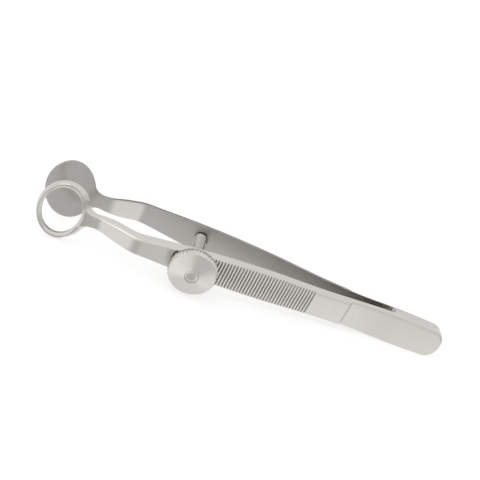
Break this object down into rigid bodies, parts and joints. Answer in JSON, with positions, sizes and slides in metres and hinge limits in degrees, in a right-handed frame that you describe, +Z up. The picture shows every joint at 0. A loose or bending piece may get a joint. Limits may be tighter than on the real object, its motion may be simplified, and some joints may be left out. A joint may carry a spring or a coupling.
{
  "type": "chalazion forceps",
  "caption": "Spring-armed eyelid forceps with a solid oval plate facing an open oval ring, closed by a knurled thumb nut on a threaded post.",
  "frame": {"origin": "bottom centre of the bounding box: halfway between tail and tips, halfway across from the nut's post end to the plate arm, level with the lowest point of plate and ring", "axes": "+X along the forceps from the tips to the tail, +Y across the gap from the ring arm to the plate arm, +Z up along the width of the arms"},
  "size_m": [0.0944, 0.0188, 0.0138],
  "materials": {
    "plate_arm_steel": "satin, finely brushed along the arm",
    "ring_arm_steel": "satin, brushed along the arm, polished ring",
    "post_steel": "machined fine thread",
    "nut_steel": "turned face and knurled rim"
  },
  "bodies": {
    "plate_arm": {"plate_arm": "plate_arm_steel", "threaded_post": "post_steel"},
    "ring_arm": {"ring_arm": "ring_arm_steel"},
    "thumb_nut": {"thumb_nut": "nut_steel"}
  },
  "joints": [
    {"name": "arm_flex", "type": "hinge", "parent": "plate_arm", "child": "ring_arm", "pos_m": [0.02905, 0.00012, 0.0069], "axis": [0, 0, -1], "range_deg": [0, 6.51], "stiffness_Nm_per_rad": 1},
    {"name": "nut_travel", "type": "slide", "parent": "plate_arm", "child": "thumb_nut", "axis": [0.0454, 0.999, 0], "range_m": [0, 0.0048]}
  ],
  "couplings": [
    {"joint": "nut_travel", "follows": "arm_flex", "m_per_rad": 0.042}
  ]
}
